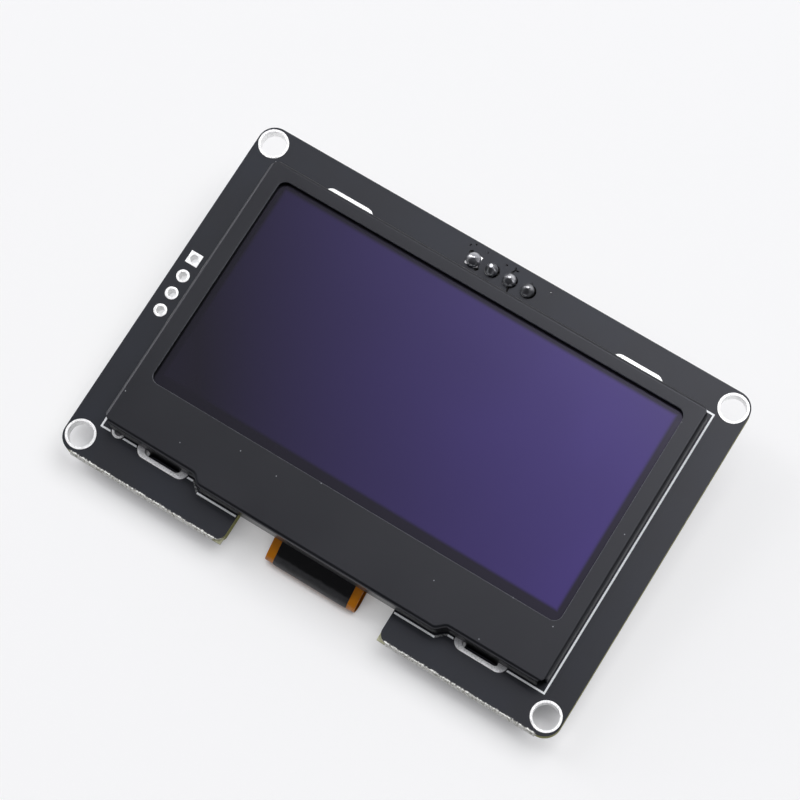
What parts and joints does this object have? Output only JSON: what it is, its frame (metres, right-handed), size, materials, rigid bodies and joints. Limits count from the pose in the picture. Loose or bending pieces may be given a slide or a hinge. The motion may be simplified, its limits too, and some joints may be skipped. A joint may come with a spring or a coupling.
{
  "type": "small oled display module",
  "caption": "Flat display module: a glass panel in a folded steel bezel on a circuit board with a pin header, plated mounting holes and a folded flex cable.",
  "frame": {"origin": "centre of the four mounting holes, on the circuit board's back face", "axes": "+Z out of the display, +X along the long side, +Y away from the flex cable, towards the pin header"},
  "size_m": [0.0694, 0.048, 0.0134],
  "materials": {
    "board": "glass-fibre board with a satin black solder mask and a pale broken lower edge",
    "print": "white printed line",
    "tin": "bright tinned copper and solder",
    "bezel_paint": "black satin paint on thin steel sheet",
    "foam": "black foam",
    "polarizer": "dark violet tinted film under a clear surface",
    "glass": "clear display glass",
    "lit_layer": "thin organic and metal layers, violet grey when off",
    "seal": "cured resin bead",
    "drying_sheet": "white desiccant sheet",
    "silicon": "bare silicon",
    "polyimide": "amber polyimide",
    "film": "black film",
    "header_plastic": "black moulded plastic",
    "gold": "thin gold plating",
    "ferrite": "grey-black ferrite",
    "chip_resin": "black moulding resin",
    "capacitor_ceramic": "tan ceramic",
    "resistor_body": "black glazed face on white ceramic"
  },
  "bodies": {
    "root": {"circuit_board": "board", "printed_line": "print", "mounting_hole_plating": "tin", "header_hole_plating": "tin", "slot_plating": "tin", "locating_hole_plating": "tin", "bezel": "bezel_paint", "window_gasket": "foam", "polarizer": "polarizer", "front_glass": "glass", "lit_layer": "lit_layer", "glass_seal": "seal", "rear_glass": "glass", "drying_sheet": "drying_sheet", "panel_tape": "foam", "driver_chip": "silicon", "flex_cable": "polyimide", "flex_film": "film", "flex_pads": "tin", "header_body": "header_plastic", "header_pins": "gold", "header_solder": "tin", "inductor_core": "ferrite", "inductor_clips": "tin", "boost_chip_body": "chip_resin", "boost_chip_leads": "tin", "regulator_body": "chip_resin", "regulator_leads": "tin", "diode_body": "chip_resin", "diode_leads": "tin", "capacitor_bodies": "capacitor_ceramic", "capacitor_ends": "tin", "resistor_bodies": "resistor_body", "resistor_ends": "tin", "component_pads": "tin", "component_solder": "tin"}
  },
  "joints": []
}
